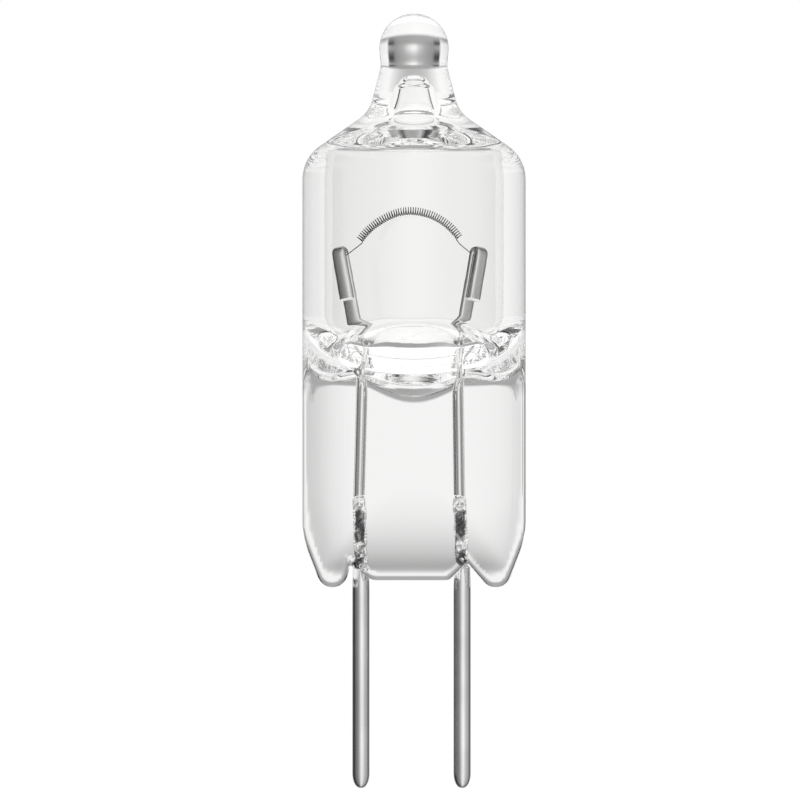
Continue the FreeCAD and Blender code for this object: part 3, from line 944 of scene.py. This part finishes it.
def mix_colour(tree, factor, first, second):
    """The first colour where the factor is 0, and the second where it is 1."""
    node = tree.nodes.new("ShaderNodeMix")
    node.data_type = "RGBA"
    for place, value in zip(MIX_INPUTS, (factor, first, second)):
        if isinstance(value, (int, float, tuple)):
            node.inputs[place].default_value = value
        else:
            tree.links.new(value, node.inputs[place])
    return node.outputs[MIX_OUTPUT]


# Limits between whole counts on a light path. A pane counts twice: as light goes in, and as it comes out
NO_BOUNCE = 0.5
ONE_PANE = 2.5
# Through a pane into the gas, and out again
INTO_THE_GAS = 3.5
# Into a pane, mirrored once inside it, and out again
IN_ONE_PANE = 3.5
# How far back a direction has to point to count as behind the bulb
BEHIND = 0.35

# Brightness all round the studio, by degrees from the front towards +X
WALL = [
    (-180, 0.35),
    (-165, 0.40),
    (-150, 0.55),
    (-138, 0.28),
    (-122, 0.01),
    (-97, 0.05),
    (-80, 0.13),
    (-63, 0.20),
    (-48, 0.25),
    (-34, 0.32),
    (-20, 0.50),
    (-7, 0.80),
    (7, 0.98),
    (20, 1.00),
    (34, 0.82),
    (48, 0.61),
    (63, 0.53),
    (80, 0.43),
    (97, 0.33),
    (115, 0.15),
    (125, 0.08),
    (138, 0.30),
    (150, 0.38),
    (180, 0.35),
]
# Brightness of the level strip that shows through both walls of the bulb, by the same degrees
STRIP = [
    (-180, 0.925),
    (-166, 0.93),
    (-152, 0.96),
    (-138, 0.94),
    (-126, 0.98),
    (-110, 1.00),
    (-90, 0.92),
    (-45, 1.00),
    (0, 0.92),
    (45, 1.00),
    (90, 0.92),
    (110, 1.00),
    (135, 1.00),
    (148, 1.00),
    (166, 0.96),
    (180, 0.925),
]
# The same strip as it shows through one thickness of glass, the flat seal, darker to the left
SEAL_STRIP = [
    (-180, 0.915),
    (-178.6, 0.91),
    (-177.8, 0.86),
    (-177.0, 0.78),
    (-176.0, 0.68),
    (-174.0, 0.56),
    (-168, 0.38),
    (-159, 0.30),
    (-154, 0.30),
    (-147, 0.35),
    (-142, 0.95),
    (142, 0.95),
    (147, 0.35),
    (154, 0.30),
    (159, 0.30),
    (168, 0.42),
    (174, 0.72),
    (176.5, 0.86),
    (178.6, 0.91),
    (180, 0.915),
]
# How much of the wall there is, by degrees of height. The rest of the studio is white
WALL_HEIGHTS = [
    (-90, 0),
    (-16, 0),
    (-12, 1),
    (13, 1),
    (17, 0),
    (28, 0),
    (33, 1),
    (58, 1),
    (68, 0),
    (90, 0),
]
# How much of the strip there is, by the same degrees
STRIP_HEIGHTS = [
    (-90, 0),
    (-20, 0),
    (-12, 1),
    (12, 1),
    (20, 0),
    (90, 0),
]
# How much of the seal's strip there is, by the same degrees. Above and below it stands the tip's wall
SEAL_STRIP_HEIGHTS = [
    (-90, 0),
    (-5, 0),
    (-0.9, 1),
    (2.0, 1),
    (9, 0),
    (90, 0),
]
# Brightness of the tip's wall, which the tip shows upside down, by degrees from the front towards +X
TIP_WALL = [
    (-180, 0.38),
    (-166, 0.33),
    (-158, 0.26),
    (-154, 0.02),
    (-146, 0.02),
    (-142, 1.00),
    (142, 1.00),
    (146, 0.02),
    (154, 0.02),
    (158, 0.24),
    (166, 0.33),
    (180, 0.38),
]
# How much of the seal's strip and the tip's wall together there is, by degrees of height
TIP_WALL_HEIGHTS = [
    (-90, 0),
    (-14, 0),
    (-4, 1),
    (46, 1),
    (58, 0),
    (90, 0),
]
# Brightness of the light that falls on matt surfaces
FLOOD_LIGHT = 0.9
WHITE = (1.0, 1.0, 1.0, 1.0)


def world_direction(tree):
    """A direction: its degrees from the front towards +X, its degrees of height, and its part along +Y."""
    direction = tree.nodes.new("ShaderNodeTexCoord")
    split = tree.nodes.new("ShaderNodeSeparateXYZ")
    tree.links.new(direction.outputs["Generated"], split.inputs[0])
    to_front = math_node(tree, "MULTIPLY", split.outputs["Y"], -1)
    turn = math_node(tree, "DEGREES", math_node(tree, "ARCTAN2", split.outputs["X"], to_front))
    height = math_node(tree, "DEGREES", math_node(tree, "ARCSINE", split.outputs["Z"]))
    return turn, height, split.outputs["Y"]


def wall_share(tree, path, height):
    """How much of the wall there is: by its heights, but in full for metal outside or in the gas."""
    panes = path.outputs["Transmission Depth"]
    mirrored = math_node(tree, "GREATER_THAN", path.outputs["Glossy Depth"], NO_BOUNCE)
    outside = math_node(tree, "LESS_THAN", panes, NO_BOUNCE)
    in_the_gas = math_node(tree, "GREATER_THAN", panes, INTO_THE_GAS)
    tall = math_node(tree, "MULTIPLY", mirrored, math_node(tree, "MAXIMUM", outside, in_the_gas))
    return math_node(tree, "MAXIMUM", strength_ramp(tree, height, WALL_HEIGHTS), tall)


def strip_through_glass(tree, path, turn, height, backwards):
    """The strip's brightness, and how much of it there is. Only light that comes through glass shows it."""
    panes = path.outputs["Transmission Depth"]
    mirrors = path.outputs["Glossy Depth"]
    straight = math_node(tree, "LESS_THAN", mirrors, NO_BOUNCE)
    one_pane = math_node(tree, "MULTIPLY", straight, math_node(tree, "LESS_THAN", panes, ONE_PANE))
    seal_strip = strength_ramp(tree, turn, SEAL_STRIP)
    seal_share = strength_ramp(tree, height, SEAL_STRIP_HEIGHTS)
    behind_one_pane = mix_colour(tree, seal_share, strength_ramp(tree, turn, TIP_WALL), seal_strip)
    strip = mix_colour(tree, one_pane, strength_ramp(tree, turn, STRIP), behind_one_pane)
    tip_share = strength_ramp(tree, height, TIP_WALL_HEIGHTS)
    share = mix_colour(tree, one_pane, strength_ramp(tree, height, STRIP_HEIGHTS), tip_share)
    behind = math_node(tree, "GREATER_THAN", backwards, BEHIND)
    bounces = math_node(tree, "ADD", mirrors, panes)
    behind = math_node(tree, "MULTIPLY", behind, math_node(tree, "LESS_THAN", bounces, IN_ONE_PANE))
    through = math_node(tree, "MAXIMUM", straight, behind)
    through = math_node(tree, "MULTIPLY", through, path.outputs["Is Transmission Ray"])
    return strip, math_node(tree, "MULTIPLY", share, through)


def make_world():
    """A white studio, with a grey wall and a level strip that only metal and glass show."""
    world = bpy.data.worlds.new("studio")
    bpy.context.scene.world = world
    world.use_nodes = True
    tree = world.node_tree
    tree.nodes.clear()
    turn, height, backwards = world_direction(tree)
    path = tree.nodes.new("ShaderNodeLightPath")
    wall = strength_ramp(tree, turn, WALL)
    strip, strip_share = strip_through_glass(tree, path, turn, height, backwards)
    studio = mix_colour(tree, wall_share(tree, path, height), WHITE, wall)
    studio = mix_colour(tree, strip_share, studio, strip)
    seen = math_node(tree, "MAXIMUM", path.outputs["Is Glossy Ray"], path.outputs["Is Transmission Ray"])
    flood = (FLOOD_LIGHT, FLOOD_LIGHT, FLOOD_LIGHT, 1.0)
    colour = mix_colour(tree, seen, flood, studio)
    colour = mix_colour(tree, path.outputs["Is Camera Ray"], colour, WHITE)
    background = tree.nodes.new("ShaderNodeBackground")
    tree.links.new(colour, background.inputs["Color"])
    output = tree.nodes.new("ShaderNodeOutputWorld")
    tree.links.new(background.outputs[0], output.inputs["Surface"])


def make_camera():
    """The photograph's camera: level, far away and straight in front."""
    data = bpy.data.cameras.new("camera")
    data.lens = LENS
    data.sensor_width = SENSOR
    camera = bpy.data.objects.new("camera", data)
    bpy.context.scene.collection.objects.link(camera)
    width = PHOTO_SIDE_PIXELS / PHOTO_PIXELS_PER_MM * MM
    distance = width * LENS / SENSOR
    camera.location = (PHOTO_CENTRE[0] * MM, -distance, (PHOTO_CENTRE[1] + FRAME_LIFT) * MM)
    camera.rotation_euler = (math.radians(90), 0, 0)
    data.clip_start = distance / CLIP_SPAN
    data.clip_end = distance * CLIP_SPAN
    bpy.context.scene.camera = camera


def floor_material():
    """Matt white that glows a little where it is looked at, and isn't mirrored by metal outside the glass."""
    material, tree, shader = new_material("floor")
    shader.inputs["Base Color"].default_value = (0.9, 0.9, 0.9, 1)
    shader.inputs["Roughness"].default_value = 0.9
    shader.inputs["Specular IOR Level"].default_value = 0.0
    shader.inputs["Emission Color"].default_value = (1, 1, 1, 1)
    path = tree.nodes.new("ShaderNodeLightPath")
    lit = math_node(tree, "MAXIMUM", path.outputs["Is Camera Ray"], path.outputs["Is Glossy Ray"])
    lit = math_node(tree, "MAXIMUM", lit, path.outputs["Is Transmission Ray"])
    tree.links.new(math_node(tree, "MULTIPLY", lit, FLOOR_GLOW), shader.inputs["Emission Strength"])
    outside = math_node(tree, "LESS_THAN", path.outputs["Transmission Depth"], NO_BOUNCE)
    mirrored = math_node(tree, "MULTIPLY", path.outputs["Is Glossy Ray"], outside)
    tree.links.new(math_node(tree, "SUBTRACT", 1, mirrored), shader.inputs["Alpha"])
    return material


def make_floor():
    """A round pale floor below the pins, white where no shadow falls on it."""
    turn = 2 * math.pi * np.arange(FLOOR_SIDES) / FLOOR_SIDES
    height = (FRAME_LIFT - PIN_REACH - FLOOR_GAP) * MM
    radius = FLOOR_RADIUS * MM
    rim = [(radius * math.cos(angle), radius * math.sin(angle), height) for angle in turn]
    mesh = bpy.data.meshes.new("floor")
    mesh.from_pydata(rim, [], [tuple(range(FLOOR_SIDES))])
    mesh.materials.append(floor_material())
    floor = bpy.data.objects.new("floor", mesh)
    bpy.context.scene.collection.objects.link(floor)


make_world()
make_camera()
make_floor()
make_glass(quartz_material())
nickel = nickel_material()
molybdenum = molybdenum_material()
crumpled = foil_material()
for side in ("left", "right"):
    make_pin(side, nickel)
    make_lead(side, molybdenum)
    make_foil(side, crumpled)
make_filament(tungsten_material())

scene = bpy.context.scene
scene.view_settings.view_transform = "Standard"
scene.cycles.max_bounces = LIGHT_BOUNCES
scene.cycles.transmission_bounces = LIGHT_BOUNCES
scene.cycles.glossy_bounces = LIGHT_BOUNCES
